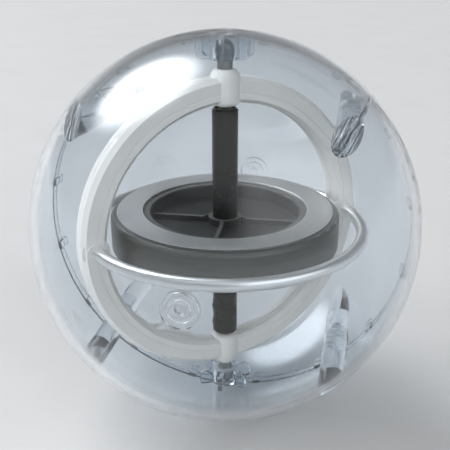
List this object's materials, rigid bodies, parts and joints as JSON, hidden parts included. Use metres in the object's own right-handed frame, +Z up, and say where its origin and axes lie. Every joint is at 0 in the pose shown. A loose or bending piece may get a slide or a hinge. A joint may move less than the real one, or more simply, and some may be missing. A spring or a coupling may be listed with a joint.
{
  "type": "gyroscope in a clear ball",
  "caption": "Gyroscope: heavy rotor on a vertical axle in a white ring with a wire guard hoop, held by its two knobs in a clear ball that opens along a seam.",
  "frame": {"origin": "centre of the clear ball, on the rotor's axle, halfway up the rotor", "axes": "+Z up along the rotor's axle; -Y towards the half of the ball that lifts off; the seam lies in the XZ plane"},
  "size_m": [0.09, 0.09, 0.09],
  "materials": {
    "clear_plastic": "clear moulded plastic, polished",
    "ring_plastic": "smooth moulded, satin",
    "guard_steel": "polished wire",
    "pivot_steel": "turned, satin",
    "cup_brass": "turned",
    "dark_steel": "dark plated, satin",
    "dark_plastic": "moulded, satin",
    "rim_steel": "turned, satin"
  },
  "bodies": {
    "rear_shell": {"rear_shell": "clear_plastic"},
    "front_shell": {"front_shell": "clear_plastic"},
    "frame": {"frame_ring_front": "ring_plastic", "frame_ring_rear": "ring_plastic", "guard_hoop_front": "guard_steel", "guard_hoop_rear": "guard_steel", "guard_bush_left": "ring_plastic", "guard_bush_right": "ring_plastic", "upper_pivot_pin": "pivot_steel", "lower_pivot_pin": "pivot_steel"},
    "rotor": {"axle": "dark_steel", "rotor_web": "dark_plastic", "rotor_rim": "rim_steel", "upper_bearing_cup": "cup_brass", "lower_bearing_cup": "cup_brass"}
  },
  "joints": [
    {"name": "shell_open", "type": "slide", "parent": "rear_shell", "child": "front_shell", "axis": [0, -1, 0], "range_m": [0, 0.095]},
    {"name": "frame_turn", "type": "hinge", "parent": "rear_shell", "child": "frame", "pos_m": [0, 0, 0], "axis": [0, 0, 1], "continuous": true},
    {"name": "rotor_spin", "type": "hinge", "parent": "frame", "child": "rotor", "pos_m": [0, 0, 0], "axis": [0, 0, 1], "continuous": true}
  ]
}
